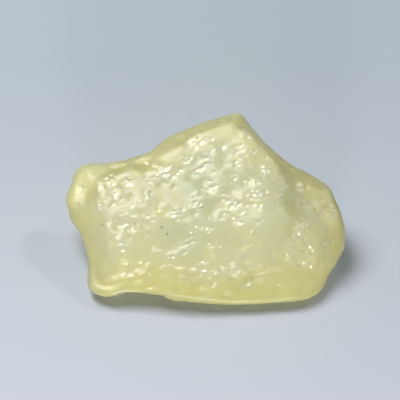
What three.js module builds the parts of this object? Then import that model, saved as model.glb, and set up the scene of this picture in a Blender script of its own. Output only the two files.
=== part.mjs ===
// Raw Libyan desert glass: one wind-worn fragment of natural silica glass, lying on its flat base.
//
// The fragment is drawn in its contour frame, which leans back from the base: "across" runs to the right,
// "up" runs along the sloping face and "near" points out of that face. Seen along "near", the contour is
// the fragment's outline. The glass is then stood on its base, in millimetres, with +Z up.
import * as THREE from "three";
import { mergeVertices } from "three/addons/utils/BufferGeometryUtils.js";
import { ImprovedNoise } from "three/addons/math/ImprovedNoise.js";

// Driving dimensions, in millimetres and degrees
const SIGHT_ELEVATION = 45; // how far "near" points up from the base
const RIM_LEAN = 17; // how far the rim's plane leans back from the contour's plane
const RIM_HEIGHT = 8.1; // height of the rim's plane over the base, at the contour's origin
const RIM_RADIUS = 0.8; // worn roundness of the rim
const RIM_CALM = 1.4; // depth inside the rim over which hollows and waves fade out
const RIM_DROOP = { half: 21, drop: 1.8 }; // how far the rim hangs at its ends, half a length out
const RIM_WAVE = { length: 8, height: 1.3 }; // how the rim swings out of its plane
const NOISE_LAYERS = { rim: 5.5, front: 3.7, back: 9.2 }; // slices of the noise, so no two are alike
const LEAST_BEVEL = 9; // no face closes in on the rim's plane more flatly
const RIDGE_WEAR = 0.55; // width over which two faces blend at a worn ridge
const BASE_WEAR = 1.1; // width over which the back blends into the base
const RINGS = 34; // rings of triangles from the middle of each side to the rim
const EVENING_ROUNDS = 14; // passes that even out the triangles
const MIDDLE = new THREE.Vector2(0, -0.5); // the place that the rings close in on

// The contour, clockwise from the peak: across, up
const CONTOUR = [
  [3.8, 14.2], [4.7, 14.42], [5.4, 14.3], [5.9, 13.6], [6.7, 12.4], [7.6, 11.45], [8.5, 10.3],
  [9.5, 9.3], [10.9, 8.1], [12.6, 6.7], [14.5, 5.7], [16.9, 4.4], [18.7, 3.0], [19.6, 1.0],
  [20.4, -0.9], [20.95, -4.2], [20.7, -6.1], [19.7, -8.3], [18.6, -9.6], [17.9, -11.4], [17.0, -12.7],
  [15.5, -13.5], [13.2, -13.95], [8.0, -14.3], [3.0, -14.42], [-2.3, -14.07], [-5.2, -13.7],
  [-7.2, -13.05], [-9.8, -12.65], [-12.4, -12.85], [-14.7, -13.3], [-16.3, -12.95], [-17.5, -12.2],
  [-17.7, -10.5], [-17.55, -8.5], [-18.0, -6.2], [-18.9, -3.8], [-20.6, -1.2], [-21.1, 0.5],
  [-20.6, 2.8], [-19.7, 5.4], [-18.0, 6.85], [-16.2, 6.75], [-13.5, 7.0], [-11.4, 7.45], [-8.8, 8.3],
  [-7.4, 9.4], [-5.3, 10.8], [-2.9, 11.85], [-0.8, 12.75], [1.5, 13.45],
];
const CONTOUR_STEPS = 240;

// How steeply the surface leaves the rim, by direction round the contour: angle, front slope, back slope
const BEVELS = [
  [0, 30, 58], [20, 52, 56], [35, 65, 54], [50, 71, 53], [75, 60, 52], [95, 52, 52], [115, 43, 52],
  [140, 46, 53], [160, 44, 55], [190, 38, 58], [225, 44, 62], [270, 52, 62], [315, 46, 60],
];

// The broad faces turned to the viewer: a point on each, then its rise to the right and its rise upwards
const FRONT_FACES = [
  { name: "upper face", at: [-3, 3, 2.5], rise: [0.06, -0.4] },
  { name: "lower face", at: [-3, -4, 5.0], rise: [0.02, -0.08] },
  { name: "right face", at: [9.6, 2, 3.6], rise: [-0.22, -0.46] },
  { name: "left face", at: [-16, 2, 2.0], rise: [0.62, -0.33] },
  { name: "lower right face", at: [14, -8, 3.7], rise: [-0.25, 0.16] },
  { name: "lower left face", at: [-15, -8, 4.2], rise: [0.3, 0.06] },
];

// The broad faces turned away, as broken: a point on each, then its rise to the right and its rise upwards
const BACK_FACES = [
  { name: "back left face", at: [-11, 2, -9.5], rise: [-0.95, 0.75] },
  { name: "back right face", at: [12, 0, -10.5], rise: [1.05, 0.55] },
  { name: "back wall", at: [2, 8, -11.2], rise: [0.1, 1.25] },
];

// Hollows left by larger chips: centre across and up, half width, half height, depth
const FRONT_CHIPS = [
  { name: "oval chip by the crest", at: [-9.1, 6.5], half: [2.0, 1.2], depth: 0.8 },
  { name: "small chip by the crest", at: [-13.3, 6.0], half: [1.5, 1.0], depth: 0.55 },
  { name: "nick under the peak", at: [5.1, 12.9], half: [0.9, 1.3], depth: 1.0 },
  { name: "hollow in the left face", at: [-17.8, 2.6], half: [2.1, 3.4], depth: 0.6 },
  { name: "hollow above the corner", at: [-16.9, -8.0], half: [1.6, 4.6], depth: 0.9 },
  { name: "hollow above the notch", at: [-10.8, -11.4], half: [4.4, 2.6], depth: 0.8 },
  { name: "dip in the middle", at: [-6.2, -4.2], half: [4.8, 2.9], depth: 0.5 },
  { name: "groove across the middle", at: [4.0, 0.3], half: [8.0, 1.4], depth: 0.2 },
  { name: "long hollow over the front edge", at: [8.6, -11.0], half: [6.6, 2.1], depth: 0.9 },
  { name: "shallow dish on the right", at: [13.5, 0.5], half: [3.8, 3.8], depth: 0.3 },
];
const BACK_CHIPS = [
  { name: "scallop in the back left face", at: [-9.5, 4.5], half: [6.0, 4.2], depth: 1.3 },
  { name: "scallop in the back right face", at: [10.5, 3.5], half: [5.2, 4.4], depth: 1.2 },
  { name: "small scallop in the back wall", at: [1.0, 9.5], half: [3.4, 2.6], depth: 0.8 },
];

// Slow waves of the worn skin: wavelength and height
const FRONT_WAVES = [
  { length: 6.5, height: 0.3 },
  { length: 3.1, height: 0.2 },
];
const BACK_WAVES = [
  { length: 9.5, height: 1.1 },
  { length: 4.6, height: 0.5 },
  { length: 2.4, height: 0.18 },
];

// Pits that blown sand has worn: how many, and their smallest and largest radius and depth
const PITS = { count: 230, radius: [0.8, 1.6], depth: [0.14, 0.34], seed: 7 };
const PIT_FREE_HEIGHT = [0.3, 1.2]; // heights over the base where pits begin and where they are full
const FLAT_WITHIN = 2e-3; // points this close to the base lie on it
const ON_EQUATOR = 1e-6; // points of the octahedron this close to its equator lie on it

const degrees = THREE.MathUtils.degToRad;
const { lerp, smoothstep, clamp } = THREE.MathUtils;
const noise = new ImprovedNoise();
const sightRise = Math.sin(degrees(SIGHT_ELEVATION));
const sightRun = Math.cos(degrees(SIGHT_ELEVATION));

// Seeded random numbers from 0 to 1, the same on each run
function randomFrom(seed) {
  let state = seed;
  return () => {
    state = (state + 0x6d2b79f5) | 0;
    let mixed = Math.imul(state ^ (state >>> 15), 1 | state);
    mixed = (mixed + Math.imul(mixed ^ (mixed >>> 7), 61 | mixed)) ^ mixed;
    return ((mixed ^ (mixed >>> 14)) >>> 0) / 2 ** 32;
  };
}

// The lower of two heights, blended where they are within the given width of each other
function lowerOf(a, b, width) {
  const overlap = Math.max(width - Math.abs(a - b), 0) / width;
  return Math.min(a, b) - (overlap * overlap * width) / 4;
}

// The contour as a closed curve, and as short straight steps
const contour = new THREE.CatmullRomCurve3(
  CONTOUR.map(([across, up]) => new THREE.Vector3(across, up, 0)),
  true,
);
const contourLine = contour.getSpacedPoints(CONTOUR_STEPS);

// How far a place inside the contour is from it
function depthInside(across, up) {
  let nearest = Infinity;
  for (let i = 0; i < CONTOUR_STEPS; i++) {
    const a = contourLine[i];
    const b = contourLine[i + 1];
    const alongX = b.x - a.x;
    const alongY = b.y - a.y;
    const share = ((across - a.x) * alongX + (up - a.y) * alongY) / (alongX * alongX + alongY * alongY);
    const t = clamp(share, 0, 1);
    nearest = Math.min(nearest, Math.hypot(across - a.x - t * alongX, up - a.y - t * alongY));
  }
  return nearest;
}

// The front and back slopes at a direction round the contour, blended between the listed ones
function slopesAt(across, up) {
  const angle = (THREE.MathUtils.radToDeg(Math.atan2(up, across)) + 360) % 360;
  const after = BEVELS.findIndex(([listed]) => listed > angle);
  const next = BEVELS[after < 0 ? 0 : after];
  const last = BEVELS[after < 0 ? BEVELS.length - 1 : after - 1];
  const share = smoothstep(angle - last[0], 0, (next[0] - last[0] + 360) % 360);
  const slope = (column) => Math.tan(degrees(lerp(last[column], next[column], share)));
  return { front: slope(1), back: slope(2) };
}

// The height of the rim's wavy plane
function rimHeight(across, up) {
  const wave = waveHeight([RIM_WAVE], across, up, NOISE_LAYERS.rim);
  const droop = RIM_DROOP.drop * (across / RIM_DROOP.half) ** 2;
  return wave - droop - Math.tan(degrees(RIM_LEAN)) * up;
}

const depthToBase = (up) => (RIM_HEIGHT + up * sightRun) / sightRise;
const heightOverBase = ({ y, z }) => y * sightRun + z * sightRise + RIM_HEIGHT;

// How far a surface stands off the rim's plane at a depth inside the contour, rounded at the rim
function riseFromRim(depth, slope) {
  const share = Math.min(depth / RIM_RADIUS, 1);
  return depth * slope + RIM_RADIUS * Math.sqrt(share * (2 - share));
}

function faceHeight({ at, rise }, across, up) {
  return at[2] + rise[0] * (across - at[0]) + rise[1] * (up - at[1]);
}

// The sum of the hollows at a place
function chipDepth(chips, across, up) {
  return chips.reduce((sum, { at, half, depth }) => {
    const off = Math.hypot((across - at[0]) / half[0], (up - at[1]) / half[1]);
    return off < 1 ? sum + depth * (1 - off * off) ** 1.5 : sum;
  }, 0);
}

// The sum of the waves at a place, on one layer of the noise
function waveHeight(waves, across, up, layer) {
  return waves.reduce(
    (sum, { length, height }) => sum + height * noise.noise(across / length, up / length, layer),
    0,
  );
}

// How far the glass reaches from the rim's plane at a place, under the bevel and the given faces
function reach(depth, slope, faceHeights, wear) {
  const bevel = riseFromRim(depth, slope);
  const faces = faceHeights.reduce((lowest, height) => lowerOf(lowest, height, RIDGE_WEAR), bevel);
  const thinnest = riseFromRim(depth, Math.tan(degrees(LEAST_BEVEL)));
  const calm = smoothstep(depth, 0, RIM_CALM);
  return Math.max(faces + wear * calm, thinnest);
}

function frontHeight(across, up) {
  const rim = rimHeight(across, up);
  const faceHeights = FRONT_FACES.map((face) => faceHeight(face, across, up) - rim);
  const waves = waveHeight(FRONT_WAVES, across, up, NOISE_LAYERS.front);
  const wear = waves - chipDepth(FRONT_CHIPS, across, up);
  return rim + reach(depthInside(across, up), slopesAt(across, up).front, faceHeights, wear);
}

function backHeight(across, up) {
  const rim = rimHeight(across, up);
  const faceHeights = BACK_FACES.map((face) => rim - faceHeight(face, across, up));
  const waves = waveHeight(BACK_WAVES, across, up, NOISE_LAYERS.back);
  const wear = waves - chipDepth(BACK_CHIPS, across, up);
  const back = reach(depthInside(across, up), slopesAt(across, up).back, faceHeights, wear);
  return -lowerOf(back - rim, depthToBase(up), BASE_WEAR);
}

// The surface point over a place in the contour: side is 1 on the front, -1 on the back and 0 on the rim
function surfacePoint(across, up, side) {
  const heights = { 1: frontHeight, 0: rimHeight, [-1]: backHeight };
  return new THREE.Vector3(across, up, heights[side](across, up));
}

// Where a point of an octahedron goes when the octahedron is opened out over the contour: its equator
// becomes the rim, and its two halves become the front and the back.
function openedOut({ x, y, z }) {
  const flat = Math.abs(x) + Math.abs(y);
  if (flat === 0) return MIDDLE.clone();
  const quarter = y >= 0 ? (x > 0 ? 0 : 1) : x < 0 ? 2 : 3;
  const along = (quarter % 2 ? Math.abs(x) : Math.abs(y)) / flat;
  const rim = contour.getPointAt(1 - (quarter + along) / 4);
  const ring = flat / (flat + Math.abs(z));
  return new THREE.Vector2(rim.x, rim.y).sub(MIDDLE).multiplyScalar(ring).add(MIDDLE);
}

// The vertices that share an edge with each vertex
function neighboursOf(geometry) {
  const neighbours = Array.from({ length: geometry.attributes.position.count }, () => new Set());
  const index = geometry.index.array;
  for (let i = 0; i < index.length; i++) {
    const next = i % 3 === 2 ? i - 2 : i + 1;
    neighbours[index[i]].add(index[next]);
    neighbours[index[next]].add(index[i]);
  }
  return neighbours.map((set) => [...set]);
}

function pointsOf({ position }) {
  const point = (i) => new THREE.Vector3().fromBufferAttribute(position, i);
  return Array.from({ length: position.count }, (_, i) => point(i));
}

// A closed skin over the glass, its triangles evened out between the rim's points, which stay
function glassSkin() {
  const octahedron = new THREE.OctahedronGeometry(1, RINGS - 1);
  octahedron.deleteAttribute("normal");
  octahedron.deleteAttribute("uv");
  const geometry = mergeVertices(octahedron);
  const neighbours = neighboursOf(geometry);
  const corners = pointsOf(geometry.attributes);
  const sides = corners.map(({ z }) => (Math.abs(z) < ON_EQUATOR ? 0 : Math.sign(z)));
  let points = corners.map((corner, i) => {
    const place = openedOut(corner);
    return surfacePoint(place.x, place.y, sides[i]);
  });
  for (let round = 0; round < EVENING_ROUNDS; round++) {
    points = points.map((point, i) => {
      if (sides[i] === 0) return point;
      const mean = new THREE.Vector3();
      for (const j of neighbours[i]) mean.add(points[j]);
      mean.divideScalar(neighbours[i].length);
      return surfacePoint(mean.x, mean.y, sides[i]);
    });
  }
  geometry.setFromPoints(points);
  return geometry;
}

// Wears the pits into the skin, leaving the base flat
function wearPits(geometry) {
  geometry.computeVertexNormals();
  const points = pointsOf(geometry.attributes);
  const random = randomFrom(PITS.seed);
  const between = ([low, high]) => lerp(low, high, random());
  const pits = Array.from({ length: PITS.count }, () => ({
    centre: points[Math.floor(random() * points.length)],
    radius: between(PITS.radius),
    depth: between(PITS.depth),
  }));
  const worn = points.map((point, i) => {
    const depths = pits.map(({ centre, radius, depth }) => {
      const off = Math.min(point.distanceTo(centre) / radius, 1);
      return depth * (1 - off * off) ** 2;
    });
    const outwards = new THREE.Vector3().fromBufferAttribute(geometry.attributes.normal, i);
    const sunk = Math.max(...depths) * smoothstep(heightOverBase(point), ...PIT_FREE_HEIGHT);
    return point.clone().addScaledVector(outwards, -sunk);
  });
  geometry.setFromPoints(worn);
}

// Stands the glass on its base, with the origin under the middle of its box
function standOnBase(geometry) {
  geometry.rotateX(Math.PI / 2 - degrees(SIGHT_ELEVATION)).translate(0, 0, RIM_HEIGHT);
  const position = geometry.attributes.position;
  for (let i = 0; i < position.count; i++) {
    if (position.getZ(i) < FLAT_WITHIN) position.setZ(i, 0);
  }
  geometry.computeBoundingBox();
  const middle = geometry.boundingBox.getCenter(new THREE.Vector3());
  geometry.translate(-middle.x, -middle.y, 0);
}

function desertGlass() {
  const geometry = glassSkin();
  wearPits(geometry);
  standOnBase(geometry);
  geometry.computeVertexNormals();
  const material = new THREE.MeshStandardMaterial({ color: 0xd6d3a2, roughness: 0.4, metalness: 0 });
  const glass = new THREE.Mesh(geometry, material);
  glass.name = "glass_fragment";
  return glass;
}

const fragment = new THREE.Group();
fragment.add(desertGlass());

export default fragment;
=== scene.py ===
"""Raw Libyan desert glass: the finished fragment, on a plain pale floor in soft studio light.

Lengths are in metres, in the frame of the solid model, unless a name ends in _MM.
"""
import math

import bmesh
import bpy
import numpy as np
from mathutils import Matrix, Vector, kdtree, noise
from mathutils.bvhtree import BVHTree

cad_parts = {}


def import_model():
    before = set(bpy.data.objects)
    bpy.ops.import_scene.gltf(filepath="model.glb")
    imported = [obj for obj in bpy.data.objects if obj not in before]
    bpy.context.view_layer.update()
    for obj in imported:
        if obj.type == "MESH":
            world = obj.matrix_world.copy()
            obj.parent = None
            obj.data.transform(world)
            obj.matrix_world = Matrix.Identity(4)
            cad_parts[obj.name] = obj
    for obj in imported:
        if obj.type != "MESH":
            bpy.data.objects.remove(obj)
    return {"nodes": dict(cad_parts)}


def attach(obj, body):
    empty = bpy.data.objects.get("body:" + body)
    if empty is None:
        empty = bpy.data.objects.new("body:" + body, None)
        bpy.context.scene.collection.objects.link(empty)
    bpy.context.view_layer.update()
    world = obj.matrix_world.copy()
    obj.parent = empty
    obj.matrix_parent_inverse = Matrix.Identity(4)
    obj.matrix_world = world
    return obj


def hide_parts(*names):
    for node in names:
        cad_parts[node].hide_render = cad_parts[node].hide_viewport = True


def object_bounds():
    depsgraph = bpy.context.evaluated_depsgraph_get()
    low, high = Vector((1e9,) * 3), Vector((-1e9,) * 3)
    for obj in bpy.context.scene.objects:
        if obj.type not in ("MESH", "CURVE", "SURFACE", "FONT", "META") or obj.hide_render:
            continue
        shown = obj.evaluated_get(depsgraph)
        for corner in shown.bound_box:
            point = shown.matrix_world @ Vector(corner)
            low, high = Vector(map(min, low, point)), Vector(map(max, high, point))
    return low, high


MM = 0.001

# The view: the picture is square, and the fragment's outline fills this box of it, in pixels
PICTURE_SIDE = 400
OUTLINE_LEFT = 65
OUTLINE_RIGHT = 346
OUTLINE_TOP = 112
OUTLINE_BOTTOM = 304
SIGHT_ELEVATION = math.radians(45)
LENS_MM = 400
SENSOR_MM = 36

# The picture's axes in space, and how far a point has to face the viewer to count as shown
SIGHT = np.array((0, -math.cos(SIGHT_ELEVATION), math.sin(SIGHT_ELEVATION)))
PICTURE_RIGHT = np.array((1.0, 0.0, 0.0))
PICTURE_UP = np.array((0, math.sin(SIGHT_ELEVATION), math.cos(SIGHT_ELEVATION)))
LEAST_FACING = 0.15

# Relief finer than the solid: rounds of subdivision, then slow ripples
WELD_MM = 0.001
SUBDIVISIONS = 2
CRISPNESS = 0.35
RIPPLES_MM = [{"length": 1.9, "height": 0.025}, {"length": 0.9, "height": 0.008}]

# Pits worn by blown sand, longer along the wind, each a bowl with a low lip, in shares of the pit's size
SEED = 11
PIT_HALF_LENGTH_MM = (0.28, 0.58)
PIT_NARROWNESS = (0.6, 0.95)
PIT_DEPTH_CHANGE = (0.75, 1.25)
PIT_REACH = 1.6
PIT_BOWL_POWER = 1.5
PIT_LIP_SHARE = 0.05
PIT_LIP_AT = 1.05
PIT_LIP_WIDTH = 0.2
PIT_LIP_DEEPEST = 0.2
PIT_FREE_HEIGHT_MM = 0.4
SCATTERED_PITS = 260
SCATTERED_DEPTH = 0.25
WIND_RISE = 0.7
WIND_RISE_SPREAD = 0.4
CLUSTER_LENGTH_MM = 0.95
CLUSTER_WIDTH_MM = 0.5

# Pits on the face, by field: depth as a share of half their width, then clusters, each with its place across
# and up the view from the middle of the outline, in mm, and its number of pits
PIT_FIELDS = [
    {"name": "left corner", "depth": 0.28, "clusters": [
        (-17.7, 4.8, 2), (-15.3, 3.9, 5), (-16.3, -0.3, 4), (-15.6, -3.3, 3), (-13.0, -6.4, 4),
    ]},
    {"name": "left field", "depth": 0.22, "clusters": [
        (-13.7, 1.2, 6), (-12.2, 3.6, 9), (-9.6, 0.9, 7), (-10.7, -1.7, 8), (-13.6, -1.8, 5),
        (-12.5, -4.2, 5), (-8.3, -3.3, 2), (-8.0, 4.0, 10), (-6.3, 5.7, 6),
    ]},
    {"name": "crest", "depth": 0.18, "clusters": [
        (-1.0, 9.5, 7), (-0.4, 6.0, 9), (-4.1, 5.7, 8), (1.6, 8.7, 8), (-2.6, 7.8, 7),
    ]},
    {"name": "peak", "depth": 0.22, "clusters": [
        (3.8, 13.0, 4), (5.4, 12.2, 4), (5.4, 10.4, 6), (3.8, 9.1, 5), (7.3, 9.2, 3),
    ]},
    {"name": "right ridge", "depth": 0.36, "clusters": [
        (6.6, 8.1, 4), (4.9, 6.9, 5), (8.1, 6.6, 5), (9.6, 5.7, 3), (11.3, 5.2, 6), (12.5, 3.6, 4),
        (12.0, 2.4, 2),
    ]},
    {"name": "middle", "depth": 0.24, "clusters": [
        (-4.4, -1.2, 6), (-2.3, 0.1, 9), (-0.3, 2.5, 6), (-1.1, -2.4, 5), (2.5, 1.2, 8), (2.8, -1.0, 6),
        (4.6, -1.6, 6), (6.0, 4.5, 6), (7.1, 2.7, 8), (7.5, 1.5, 9), (8.6, 0.6, 3), (6.0, 0.7, 3),
        (7.7, -1.6, 3),
    ]},
    {"name": "lower middle", "depth": 0.46, "clusters": [
        (-0.1, -3.2, 6), (-2.5, -5.5, 8), (-4.4, -6.6, 5), (1.6, -5.4, 4), (5.2, -6.1, 4), (6.0, -4.9, 3),
        (9.3, -4.3, 3),
    ]},
    {"name": "front row", "depth": 0.5, "clusters": [
        (3.8, -8.7, 3), (1.7, -9.0, 3), (-0.1, -9.0, 3), (11.3, -12.1, 1),
    ]},
    {"name": "right side", "depth": 0.48, "clusters": [
        (12.6, -3.7, 6), (14.0, -5.8, 4), (14.6, -1.8, 3), (15.5, -1.2, 3), (17.1, -0.9, 3), (17.4, 0.9, 2),
        (16.0, 1.2, 2), (15.9, 3.7, 2), (15.3, -4.2, 2), (18.3, -4.8, 6), (18.3, -6.9, 4), (16.5, -7.5, 5),
    ]},
]

# Dark grains lodged in the face, by place across and up the view
SPECK_PLACES_MM = [
    (-0.6, 0.15), (-15.3, -2.4), (-8.25, 2.4), (-6.45, -2.85), (-5.7, -3.9), (15.0, 0.75),
]
SPECK_RADIUS_MM = 0.15
SPECK_REACH = 1.4
SPECK_COLOUR = (0.05, 0.045, 0.03, 1)

# How far the glass reaches under the skin, found by looks that lean away from straight in
DEPTH_START_MM = 0.05
DEPTH_LEAN = math.radians(52)
DEPTH_LOOKS = 8
DEPTH_EVENING_ROUNDS = 5

# How worn the skin is by pits, and how far it faces back, by the outward direction's Y, for painted shade
WEAR_EVENING_ROUNDS = 25
WEAR_POLISH = 1.6
BACK_SHADE_FROM = -0.3
BACK_SHADE_TO = 0.1
BACK_SHADE_EVENING_ROUNDS = 10

# The glass: clear with a milky share, and a thin gloss that is strongest in the pits
GLASS = {
    "Transmission Weight": 0.66,
    "IOR": 1.46,
    "Roughness": 0.42,
    "Specular IOR Level": 0.5,
    "Coat Roughness": 0.2,
    "Subsurface Weight": 1.0,
    "Subsurface Scale": 1.0,
    "Subsurface Radius": (6 * MM, 5.5 * MM, 3 * MM),
}
ABSORPTION_COLOUR = (0.72, 0.73, 0.36, 1)
ABSORPTION_DENSITY = 30
GLOSS = (0.1, 1.0)

# Tints: greenish and yellowish clouds, a painted glow of deep yellow where thin, pale where worn as real
# frosted skin with painted sheen, painted olive shade on the sides that face back
CLOUDS_PER_METRE = 120
CLOUD_DETAIL = 3
CLOUD_TINTS = [(0.35, (0.77, 0.8, 0.57, 1)), (0.65, (0.89, 0.875, 0.58, 1))]
THIN_EDGE_GLOW_COLOUR = (0.99, 0.87, 0.35, 1)
THIN_MM = 1.0
THICK_MM = 7.0
FROST_AND_SHEEN_COLOUR = (0.93, 0.93, 0.75, 1)
FROST_AND_SHEEN_FULL_WEAR = 0.4
FROST_AND_SHEEN_MOST = 0.7
BACK_SHADE_COLOUR = (0.76, 0.735, 0.42, 1)

# Dimples between the pits, too fine for the mesh, stretched along the wind and sharpest where worn
DIMPLES_PER_METRE = 1500
DIMPLE_TURN = (0, 0, -0.6)
DIMPLE_STRETCH = (0.65, 1.1, 1.0)
DIMPLE_SMOOTHNESS = 0.4
DIMPLE_HEIGHT_MM = 0.22
DIMPLE_FULL_WEAR = 0.3
DIMPLE_SHARPNESS = (0.1, 0.8)

# Square lamps turned to the fragment: place, side and power in watts, and the dim light all round
LIGHT_COLOUR = (1, 0.99, 0.97)
SOFTBOXES = [
    {"name": "key softbox", "at": (-0.2, 0.14, 0.42), "side": 0.26, "power": 2.5},
    {"name": "top softbox", "at": (-0.08, -0.01, 0.45), "side": 0.12, "power": 0.45},
    {"name": "small lamp", "at": (0.28, 0.16, 0.38), "side": 0.05, "power": 0.45},
    {"name": "front card", "at": (0, -0.3, 0.035), "side": 0.06, "power": 0.88},
]
SKY_COLOUR = (0.94, 0.97, 1.0, 1)
SKY_STRENGTH = 0.14
MOST_BOUNCES = 16
MOST_BOUNCES_IN_GLASS = 12

# The floor: painted light, paler in front than behind, just clear of the base
FLOOR_ROUGHNESS = 0.6
FLOOR_PAINTED_LIT_FRONT_COLOUR = (0.405, 0.435, 0.495, 1)
FLOOR_PAINTED_SHADE_BACK_COLOUR = (0.302, 0.346, 0.392, 1)
FLOOR_PAINTED_LIGHT_FADE = 0.04
FLOOR_SIDE = 3.0
FLOOR_GAP_MM = 0.15


def welded_triangles(mesh):
    """The corner points and triangles of a mesh, with its doubled points merged."""
    shape = bmesh.new()
    shape.from_mesh(mesh)
    bmesh.ops.remove_doubles(shape, verts=shape.verts, dist=WELD_MM * MM)
    bmesh.ops.triangulate(shape, faces=shape.faces)
    shape.verts.index_update()
    points = np.array([corner.co for corner in shape.verts])
    triangles = np.array([[corner.index for corner in face.verts] for face in shape.faces])
    shape.free()
    return points, triangles


def edges_of(triangles):
    """The edges of the triangles, and the edge that each of their sides is."""
    sides = np.sort(triangles[:, [0, 1, 1, 2, 2, 0]].reshape(-1, 2), axis=1)
    edges, edge_of_side = np.unique(sides, axis=0, return_inverse=True)
    return edges, edge_of_side.reshape(-1)


def ring_sums(points, edges):
    """The sum of each point's neighbours, and their number."""
    sums = np.zeros(points.shape)
    np.add.at(sums, edges[:, 0], points[edges[:, 1]])
    np.add.at(sums, edges[:, 1], points[edges[:, 0]])
    return sums, np.bincount(edges.reshape(-1), minlength=len(points))


def crisper(points, triangles):
    """The points moved out against the rounding that subdivision brings."""
    sums, valence = ring_sums(points, edges_of(triangles)[0])
    return points + CRISPNESS * (points - sums / valence[:, None])


def evened(values, triangles, rounds):
    """Values of the points, evened out among neighbours."""
    edges = edges_of(triangles)[0]
    for _ in range(rounds):
        sums, valence = ring_sums(values, edges)
        values = (values + sums) / (1 + valence[:, None])
    return values


def glass_depths(points, triangles):
    """How far the glass reaches under each point, at its least, evened out among neighbours."""
    tree = BVHTree.FromPolygons(points.tolist(), triangles.tolist())
    depths = np.zeros((len(points), 1))
    for index, (point, outward) in enumerate(zip(points, point_normals(points, triangles))):
        start = point - outward * DEPTH_START_MM * MM
        side = np.cross(outward, PICTURE_UP)
        side /= np.linalg.norm(side)
        other_side = np.cross(outward, side)
        reaches = []
        for turn in np.linspace(0, 2 * math.pi, DEPTH_LOOKS, endpoint=False):
            leaning = math.cos(turn) * side + math.sin(turn) * other_side
            inward = math.sin(DEPTH_LEAN) * leaning - math.cos(DEPTH_LEAN) * outward
            reaches.append(tree.ray_cast(start, inward)[3] or 0)
        depths[index] = min(reaches)
    return evened(depths, triangles, DEPTH_EVENING_ROUNDS)


def loop_subdivided(points, triangles):
    """One round of Loop subdivision of a closed triangle mesh, with any values carried along."""
    edges, edge_of_side = edges_of(triangles)
    opposite = np.zeros((len(edges), points.shape[1]))
    np.add.at(opposite, edge_of_side, points[triangles[:, [2, 0, 1]].reshape(-1)])
    middles = points[edges].sum(axis=1) * 3 / 8 + opposite / 8
    sums, valence = ring_sums(points, edges)
    weight = np.where(valence == 3, 3 / 16, 3 / (8 * valence))
    kept = points * (1 - valence * weight)[:, None] + sums * weight[:, None]
    a, b, c = triangles.T
    ab, bc, ca = edge_of_side.reshape(-1, 3).T + len(points)
    parts = [(a, ab, ca), (b, bc, ab), (c, ca, bc), (ab, bc, ca)]
    return np.concatenate([kept, middles]), np.concatenate([np.stack(part, axis=1) for part in parts])


def point_normals(points, triangles):
    """The outward direction at each point."""
    a, b, c = (points[triangles[:, i]] for i in range(3))
    faces = np.cross(b - a, c - a)
    normals = np.zeros_like(points)
    for i in range(3):
        np.add.at(normals, triangles[:, i], faces)
    return normals / np.linalg.norm(normals, axis=1, keepdims=True)


class View:
    """Where the fragment's points are across and up the picture."""

    def __init__(self, points):
        across = points @ PICTURE_RIGHT
        up = points @ PICTURE_UP
        self.middle_across = (across.min() + across.max()) / 2
        self.middle_up = (up.min() + up.max()) / 2
        self.metres_per_pixel = (across.max() - across.min()) / (OUTLINE_RIGHT - OUTLINE_LEFT)

    def places(self, points):
        """Places across and up the picture, from the middle of the outline."""
        across = points @ PICTURE_RIGHT - self.middle_across
        up = points @ PICTURE_UP - self.middle_up
        return np.stack([across, up], axis=1)

    def picture_middle(self):
        """The place that the picture's middle shows, from the middle of the outline."""
        across = PICTURE_SIDE / 2 - (OUTLINE_LEFT + OUTLINE_RIGHT) / 2
        up = (OUTLINE_TOP + OUTLINE_BOTTOM) / 2 - PICTURE_SIDE / 2
        return across * self.metres_per_pixel, up * self.metres_per_pixel


def face_finder(points, normals, view):
    """A search tree of the points that the picture shows, by place."""
    places = view.places(points)
    shown = np.flatnonzero(normals @ SIGHT > LEAST_FACING)
    tree = kdtree.KDTree(len(shown))
    for index in shown:
        tree.insert((*places[index], 0), index)
    tree.balance()
    return tree


def pit_places(points, normals, view, random):
    """The point and depth of each pit: the clusters on the face, then others all over."""
    face = face_finder(points, normals, view)
    along = np.array((1, WIND_RISE)) / math.hypot(1, WIND_RISE) * CLUSTER_LENGTH_MM
    beside = np.array((-WIND_RISE, 1)) / math.hypot(1, WIND_RISE) * CLUSTER_WIDTH_MM
    places = []
    for field in PIT_FIELDS:
        for across, up, count in field["clusters"]:
            for shift in random.normal(0, 1, (count, 2)):
                place = np.array((across, up)) + shift[0] * along + shift[1] * beside
                places.append((face.find((*place * MM, 0))[1], field["depth"]))
    others = random.choice(len(points), SCATTERED_PITS, replace=False)
    return places + [(index, SCATTERED_DEPTH) for index in others]


def pit_heights(points, normals, view, random):
    """How far the pits and their lips move each point out, and how far each lies in a pit, 0 to 1."""
    tree = kdtree.KDTree(len(points))
    for index, point in enumerate(points):
        tree.insert(point, index)
    tree.balance()
    height = np.zeros(len(points))
    polish = np.zeros(len(points))
    for centre, depth_share in pit_places(points, normals, view, random):
        half_length = random.uniform(*PIT_HALF_LENGTH_MM) * MM
        half_width = half_length * random.uniform(*PIT_NARROWNESS)
        depth = half_width * depth_share * random.uniform(*PIT_DEPTH_CHANGE)
        outward = normals[centre]
        lean = PICTURE_RIGHT + PICTURE_UP * random.normal(WIND_RISE, WIND_RISE_SPREAD)
        along = lean - outward * (lean @ outward)
        along /= np.linalg.norm(along)
        beside = np.cross(outward, along)
        found = tree.find_range(points[centre], half_length * PIT_REACH)
        near = np.array([index for _, index, _ in found])
        offset = points[near] - points[centre]
        away = np.hypot(offset @ along / half_length, offset @ beside / half_width)
        bowl = np.clip(1 - away**2, 0, 1) ** PIT_BOWL_POWER
        lip = PIT_LIP_SHARE * np.exp(-(((away - PIT_LIP_AT) / PIT_LIP_WIDTH) ** 2))
        on_skin = height[near] > -PIT_LIP_DEEPEST * depth
        height[near] = np.minimum(height[near], -depth * bowl) + depth * lip * on_skin
        polish[near] = np.maximum(polish[near], bowl)
    return height, polish


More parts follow.
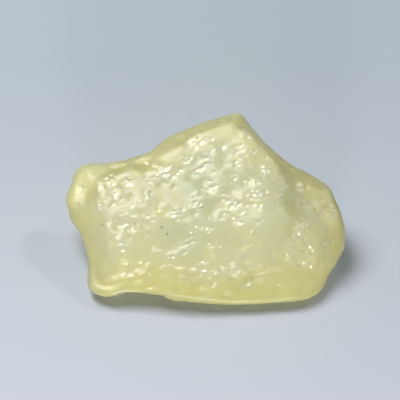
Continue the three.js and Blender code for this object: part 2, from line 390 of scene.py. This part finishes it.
def ripple_heights(points):
    """Slow ripples of the worn skin."""
    height = np.zeros(len(points))
    for ripple in RIPPLES_MM:
        scaled = points / (ripple["length"] * MM)
        height += ripple["height"] * MM * np.array([noise.noise(point) for point in scaled])
    return height


def speck_shares(points, normals, view):
    """How much of each point a dark grain covers, 0 to 1."""
    face = face_finder(points, normals, view)
    share = np.zeros(len(points))
    for place in SPECK_PLACES_MM:
        centre = points[face.find((place[0] * MM, place[1] * MM, 0))[1]]
        away = np.linalg.norm(points - centre, axis=1) / (SPECK_RADIUS_MM * MM)
        share = np.maximum(share, np.clip(SPECK_REACH - away, 0, 1))
    return share


def add_attribute(mesh, name, values):
    """Keeps one value per point of the mesh, for the material."""
    mesh.attributes.new(name, "FLOAT", "POINT").data.foreach_set("value", values.astype(np.float32))


def make_fragment(solid):
    """The fragment with its fine relief, in place of the solid."""
    random = np.random.default_rng(SEED)
    points, triangles = welded_triangles(solid.data)
    view = View(points)
    carried = np.hstack([crisper(points, triangles), glass_depths(points, triangles)])
    for _ in range(SUBDIVISIONS):
        carried, triangles = loop_subdivided(carried, triangles)
    points = carried[:, :3]
    points[:, 2] = np.maximum(points[:, 2], 0)
    normals = point_normals(points, triangles)
    height, polish = pit_heights(points, normals, view, random)
    clear = np.clip(points[:, 2] / (PIT_FREE_HEIGHT_MM * MM) - 1, 0, 1)
    height = (height + ripple_heights(points)) * clear
    worn = points + normals * height[:, None]
    mesh = bpy.data.meshes.new("desert_glass")
    mesh.from_pydata(worn, [], triangles)
    mesh.shade_smooth()

    wear = evened(polish[:, None], triangles, WEAR_EVENING_ROUNDS)[:, 0]
    add_attribute(mesh, "wear", wear)
    add_attribute(mesh, "polish", np.clip(polish + WEAR_POLISH * wear, 0, 1))
    add_attribute(mesh, "glass_depth", carried[:, 3])
    # Painted shade: the sides that face back are marked for an olive darkening
    back_shade = np.clip((normals[:, 1:2] - BACK_SHADE_FROM) / (BACK_SHADE_TO - BACK_SHADE_FROM), 0, 1)
    add_attribute(mesh, "back_shade", evened(back_shade, triangles, BACK_SHADE_EVENING_ROUNDS)[:, 0])
    add_attribute(mesh, "speck", speck_shares(worn, normals, view))

    fragment = bpy.data.objects.new("desert_glass", mesh)
    bpy.context.scene.collection.objects.link(fragment)
    return fragment, view


def new_material(name):
    """A new material, its node tree and its shader."""
    material = bpy.data.materials.new(name)
    material.use_nodes = True
    return material, material.node_tree, material.node_tree.nodes["Principled BSDF"]


def attribute_value(tree, name):
    """The value kept at each point under a name."""
    node = tree.nodes.new("ShaderNodeAttribute")
    node.attribute_name = name
    return node.outputs["Fac"]


def ranged(tree, value, given, wanted=(0, 1)):
    """A value moved from one range to another, and held inside it."""
    node = tree.nodes.new("ShaderNodeMapRange")
    node.inputs["From Min"].default_value, node.inputs["From Max"].default_value = given
    node.inputs["To Min"].default_value, node.inputs["To Max"].default_value = wanted
    tree.links.new(value, node.inputs["Value"])
    return node.outputs["Result"]


def mixed(tree, share, first, second):
    """A mix of two colours, each a plain colour or another node's output."""
    node = tree.nodes.new("ShaderNodeMix")
    node.data_type = "RGBA"
    tree.links.new(share, node.inputs["Factor"])
    for socket, colour in (("A", first), ("B", second)):
        if isinstance(colour, tuple):
            node.inputs[socket].default_value = colour
        else:
            tree.links.new(colour, node.inputs[socket])
    return node.outputs["Result"]


def glass_tint(tree, place, wear):
    """The colour of the glass: clouds, then a painted glow at thin edges, frosted skin with painted sheen,
    painted shade on the sides that face back, and dark grains.
    """
    clouds = tree.nodes.new("ShaderNodeTexNoise")
    clouds.inputs["Scale"].default_value = CLOUDS_PER_METRE
    clouds.inputs["Detail"].default_value = CLOUD_DETAIL
    tree.links.new(place, clouds.inputs["Vector"])
    ramp = tree.nodes.new("ShaderNodeValToRGB")
    for element, (position, colour) in zip(ramp.color_ramp.elements, CLOUD_TINTS):
        element.position = position
        element.color = colour
    tree.links.new(clouds.outputs["Fac"], ramp.inputs["Fac"])
    # Painted light: a deep yellow glow where the glass is thin, for light piped through the edges
    thickness = ranged(tree, attribute_value(tree, "glass_depth"), (THIN_MM * MM, THICK_MM * MM))
    body = mixed(tree, thickness, THIN_EDGE_GLOW_COLOUR, ramp.outputs["Color"])
    # Worn skin is paler: partly real frosted skin, partly painted sheen
    frost_and_sheen = ranged(tree, wear, (0, FROST_AND_SHEEN_FULL_WEAR), (0, FROST_AND_SHEEN_MOST))
    skin = mixed(tree, frost_and_sheen, body, FROST_AND_SHEEN_COLOUR)
    # Painted shade: olive on the sides that face back
    sides = mixed(tree, attribute_value(tree, "back_shade"), skin, BACK_SHADE_COLOUR)
    return mixed(tree, attribute_value(tree, "speck"), sides, SPECK_COLOUR)


def glass_dimples(tree, place, wear):
    """The outward direction of the skin, with its dimples."""
    wind = tree.nodes.new("ShaderNodeMapping")
    wind.inputs["Rotation"].default_value = DIMPLE_TURN
    wind.inputs["Scale"].default_value = DIMPLE_STRETCH
    tree.links.new(place, wind.inputs["Vector"])
    dimples = tree.nodes.new("ShaderNodeTexVoronoi")
    dimples.feature = "SMOOTH_F1"
    dimples.inputs["Scale"].default_value = DIMPLES_PER_METRE
    dimples.inputs["Smoothness"].default_value = DIMPLE_SMOOTHNESS
    tree.links.new(wind.outputs["Vector"], dimples.inputs["Vector"])
    bump = tree.nodes.new("ShaderNodeBump")
    bump.inputs["Distance"].default_value = DIMPLE_HEIGHT_MM * MM
    sharpness = ranged(tree, wear, (0, DIMPLE_FULL_WEAR), DIMPLE_SHARPNESS)
    tree.links.new(sharpness, bump.inputs["Strength"])
    tree.links.new(dimples.outputs["Distance"], bump.inputs["Height"])
    return bump.outputs["Normal"]


def glass_material():
    """Frosted pale yellow glass, milky inside, with polished pits and dark grains."""
    material, tree, shader = new_material("desert_glass")
    for socket, value in GLASS.items():
        shader.inputs[socket].default_value = value
    place = tree.nodes.new("ShaderNodeTexCoord").outputs["Object"]
    wear = attribute_value(tree, "wear")
    tree.links.new(glass_tint(tree, place, wear), shader.inputs["Base Color"])
    gloss = ranged(tree, attribute_value(tree, "polish"), (0, 1), GLOSS)
    tree.links.new(gloss, shader.inputs["Coat Weight"])
    outward = glass_dimples(tree, place, wear)
    tree.links.new(outward, shader.inputs["Normal"])
    tree.links.new(outward, shader.inputs["Coat Normal"])
    absorb = tree.nodes.new("ShaderNodeVolumeAbsorption")
    absorb.inputs["Color"].default_value = ABSORPTION_COLOUR
    absorb.inputs["Density"].default_value = ABSORPTION_DENSITY
    tree.links.new(absorb.outputs["Volume"], tree.nodes["Material Output"].inputs["Volume"])
    return material


def make_floor():
    """A wide floor under the fragment, with painted light: a soft fade from paler in front to darker behind.
    """
    mesh = bpy.data.meshes.new("floor")
    half = FLOOR_SIDE / 2
    low = -FLOOR_GAP_MM * MM
    corners = [(-half, -half, low), (half, -half, low), (half, half, low), (-half, half, low)]
    mesh.from_pydata(corners, [], [(0, 1, 2, 3)])
    material, tree, shader = new_material("floor")
    shader.inputs["Roughness"].default_value = FLOOR_ROUGHNESS
    place = tree.nodes.new("ShaderNodeTexCoord")
    axes = tree.nodes.new("ShaderNodeSeparateXYZ")
    tree.links.new(place.outputs["Object"], axes.inputs["Vector"])
    # Painted light: the floor is paler in front, darker behind
    fade = ranged(tree, axes.outputs["Y"], (-FLOOR_PAINTED_LIGHT_FADE, FLOOR_PAINTED_LIGHT_FADE))
    colour = mixed(tree, fade, FLOOR_PAINTED_LIT_FRONT_COLOUR, FLOOR_PAINTED_SHADE_BACK_COLOUR)
    tree.links.new(colour, shader.inputs["Base Color"])
    mesh.materials.append(material)
    floor = bpy.data.objects.new("floor", mesh)
    bpy.context.scene.collection.objects.link(floor)
    return floor


def aim(thing, at, target):
    """Puts a lamp or camera in its place, turned to a target."""
    thing.location = at
    thing.rotation_euler = (Vector(target) - Vector(at)).to_track_quat("-Z", "Y").to_euler()


def add_softbox(name, at, side, power):
    """A square lamp turned to the fragment."""
    light = bpy.data.lights.new(name, "AREA")
    light.size = side
    light.energy = power
    light.color = LIGHT_COLOUR
    softbox = bpy.data.objects.new(name, light)
    bpy.context.scene.collection.objects.link(softbox)
    aim(softbox, at, (0, 0, 0))


def light_scene():
    """The lamps, and a dim even light from all round."""
    for softbox in SOFTBOXES:
        add_softbox(**softbox)
    world = bpy.data.worlds.new("studio")
    bpy.context.scene.world = world
    world.use_nodes = True
    sky = world.node_tree.nodes["Background"]
    sky.inputs["Color"].default_value = SKY_COLOUR
    sky.inputs["Strength"].default_value = SKY_STRENGTH


def add_camera(view, box):
    """Frames the fragment's outline as the picture does."""
    camera = bpy.data.objects.new("camera", bpy.data.cameras.new("camera"))
    camera.data.lens = LENS_MM
    camera.data.sensor_width = SENSOR_MM
    across, up = view.picture_middle()
    middle = np.array((box[0] + box[1]) / 2)
    off_across = view.middle_across + across - middle @ PICTURE_RIGHT
    off_up = view.middle_up + up - middle @ PICTURE_UP
    target = middle + PICTURE_RIGHT * off_across + PICTURE_UP * off_up
    distance = view.metres_per_pixel * PICTURE_SIDE * LENS_MM / SENSOR_MM
    aim(camera, target + SIGHT * distance, target)
    bpy.context.scene.collection.objects.link(camera)
    bpy.context.scene.camera = camera


def main():
    """The fragment in place of the solid, on its floor, lit and framed."""
    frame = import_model()
    cad_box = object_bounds()
    fragment, view = make_fragment(frame["nodes"]["glass_fragment"])
    fragment.data.materials.append(glass_material())
    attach(fragment, "root")
    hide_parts("glass_fragment")
    make_floor()
    light_scene()
    add_camera(view, cad_box)
    scene = bpy.context.scene
    scene.view_settings.view_transform = "Standard"
    scene.cycles.use_denoising = True
    scene.cycles.max_bounces = MOST_BOUNCES
    scene.cycles.transmission_bounces = MOST_BOUNCES_IN_GLASS


main()
